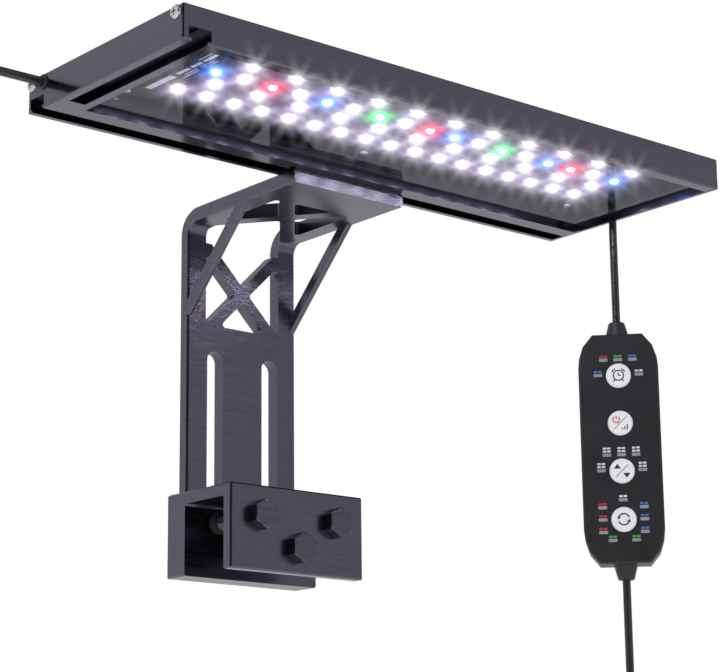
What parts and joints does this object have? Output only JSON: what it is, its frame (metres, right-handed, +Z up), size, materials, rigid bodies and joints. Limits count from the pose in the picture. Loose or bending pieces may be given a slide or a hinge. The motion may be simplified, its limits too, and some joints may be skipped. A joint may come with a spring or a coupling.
{
  "type": "led aquarium light",
  "caption": "Slim rectangular aquarium light on a truss bracket with a screw-on rim clamp, lit light window, two T-slots and an in-line button controller on its cord.",
  "frame": {"origin": "middle of the clamp's seat, where the web rests on the tank rim", "axes": "+X along the lamp towards its capped end, +Y away from the water, +Z up"},
  "size_m": [0.363, 0.1869, 0.3739],
  "materials": {
    "anodised_aluminium": "fine brushed, anodised dark grey-violet",
    "steel": "zinc plated",
    "black_steel": "black finish, fine grain",
    "nickel": "nickel plated",
    "black_rubber": "matt",
    "black_board": "satin solder mask",
    "white_light": "lit light package",
    "red_light": "lit light package",
    "green_light": "lit light package",
    "blue_light": "lit light package",
    "clear_cover": "clear, polished",
    "thermal_pad": "matt",
    "grey_plastic": "satin",
    "wire_insulation": "satin",
    "connector_plastic": "satin",
    "case_plastic": "satin",
    "green_board": "satin solder mask",
    "indicator_windows": "frosted",
    "button_plastic": "smooth",
    "cord_sleeve": "matt"
  },
  "bodies": {
    "clamp": {"clamp_body": "anodised_aluminium", "column_screws": "black_steel", "column_washers": "black_steel"},
    "bracket": {"bracket": "anodised_aluminium"},
    "lamp": {"lamp_housing": "anodised_aluminium", "left_end_block": "anodised_aluminium", "right_end_cap": "anodised_aluminium", "board_screws": "steel", "end_block_screws": "steel", "end_cap_screws": "steel", "controller_screws": "steel", "led_board": "black_board", "white_leds": "white_light", "red_leds": "red_light", "green_leds": "green_light", "blue_leds": "blue_light", "lens_cover": "clear_cover", "cover_seal": "black_rubber", "thermal_pad": "thermal_pad", "cable_gland": "grey_plastic", "lead_wires": "wire_insulation", "wire_connector": "connector_plastic", "controller_front": "case_plastic", "controller_back": "case_plastic", "controller_board": "green_board", "indicator_lights": "indicator_windows", "tact_switches": "case_plastic", "top_relief": "cord_sleeve", "bottom_relief": "cord_sleeve", "lamp_cord_out": "cord_sleeve", "lamp_cord_coil": "cord_sleeve", "lamp_cord_in": "cord_sleeve", "coil_tie": "black_rubber", "supply_cord_down": "cord_sleeve", "supply_hank": "cord_sleeve", "supply_cord_end": "cord_sleeve", "hank_tie": "black_rubber", "dc_plug_body": "case_plastic", "dc_plug_barrel": "nickel"},
    "pad_left": {"screw_pad_left": "black_rubber"},
    "screw_left": {"clamp_screw_left": "black_steel"},
    "pad_middle": {"screw_pad_middle": "black_rubber"},
    "screw_middle": {"clamp_screw_middle": "black_steel"},
    "pad_right": {"screw_pad_right": "black_rubber"},
    "screw_right": {"clamp_screw_right": "black_steel"},
    "key_1": {"button_1": "button_plastic"},
    "key_2": {"button_2": "button_plastic"},
    "key_3": {"button_3": "button_plastic"},
    "key_4": {"button_4": "button_plastic"}
  },
  "joints": [
    {"name": "height_slide", "type": "slide", "parent": "clamp", "child": "bracket", "axis": [0, 0, 1], "range_m": [-0.078, 0.005]},
    {"name": "lamp_slide", "type": "slide", "parent": "bracket", "child": "lamp", "axis": [1, 0, 0], "range_m": [-0.105, 0.125]},
    {"name": "pad_left_slide", "type": "slide", "parent": "clamp", "child": "pad_left", "axis": [0, 1, 0], "range_m": [-0.0215, 0]},
    {"name": "screw_left_turn", "type": "hinge", "parent": "pad_left", "child": "screw_left", "pos_m": [-0.021, -0.0199, -0.0078], "axis": [0, 1, 0], "range_deg": [-6200, 0]},
    {"name": "pad_middle_slide", "type": "slide", "parent": "clamp", "child": "pad_middle", "axis": [0, 1, 0], "range_m": [-0.0215, 0]},
    {"name": "screw_middle_turn", "type": "hinge", "parent": "pad_middle", "child": "screw_middle", "pos_m": [0, -0.0199, -0.0208], "axis": [0, 1, 0], "range_deg": [-6200, 0]},
    {"name": "pad_right_slide", "type": "slide", "parent": "clamp", "child": "pad_right", "axis": [0, 1, 0], "range_m": [-0.0215, 0]},
    {"name": "screw_right_turn", "type": "hinge", "parent": "pad_right", "child": "screw_right", "pos_m": [0.021, -0.0199, -0.0078], "axis": [0, 1, 0], "range_deg": [-6200, 0]},
    {"name": "button_1_press", "type": "slide", "parent": "lamp", "child": "key_1", "axis": [0.7373, 0.6756, 0], "range_m": [0, 0.0006], "stiffness_N_per_m": 500, "springref_m": -0.001},
    {"name": "button_2_press", "type": "slide", "parent": "lamp", "child": "key_2", "axis": [0.7373, 0.6756, 0], "range_m": [0, 0.0006], "stiffness_N_per_m": 500, "springref_m": -0.001},
    {"name": "button_3_press", "type": "slide", "parent": "lamp", "child": "key_3", "axis": [0.7373, 0.6756, 0], "range_m": [0, 0.0006], "stiffness_N_per_m": 500, "springref_m": -0.001},
    {"name": "button_4_press", "type": "slide", "parent": "lamp", "child": "key_4", "axis": [0.7373, 0.6756, 0], "range_m": [0, 0.0006], "stiffness_N_per_m": 500, "springref_m": -0.001}
  ],
  "couplings": [
    {"joint": "screw_left_turn", "follows": "pad_left_slide", "rad_per_m": 5026.5},
    {"joint": "screw_middle_turn", "follows": "pad_middle_slide", "rad_per_m": 5026.5},
    {"joint": "screw_right_turn", "follows": "pad_right_slide", "rad_per_m": 5026.5}
  ]
}
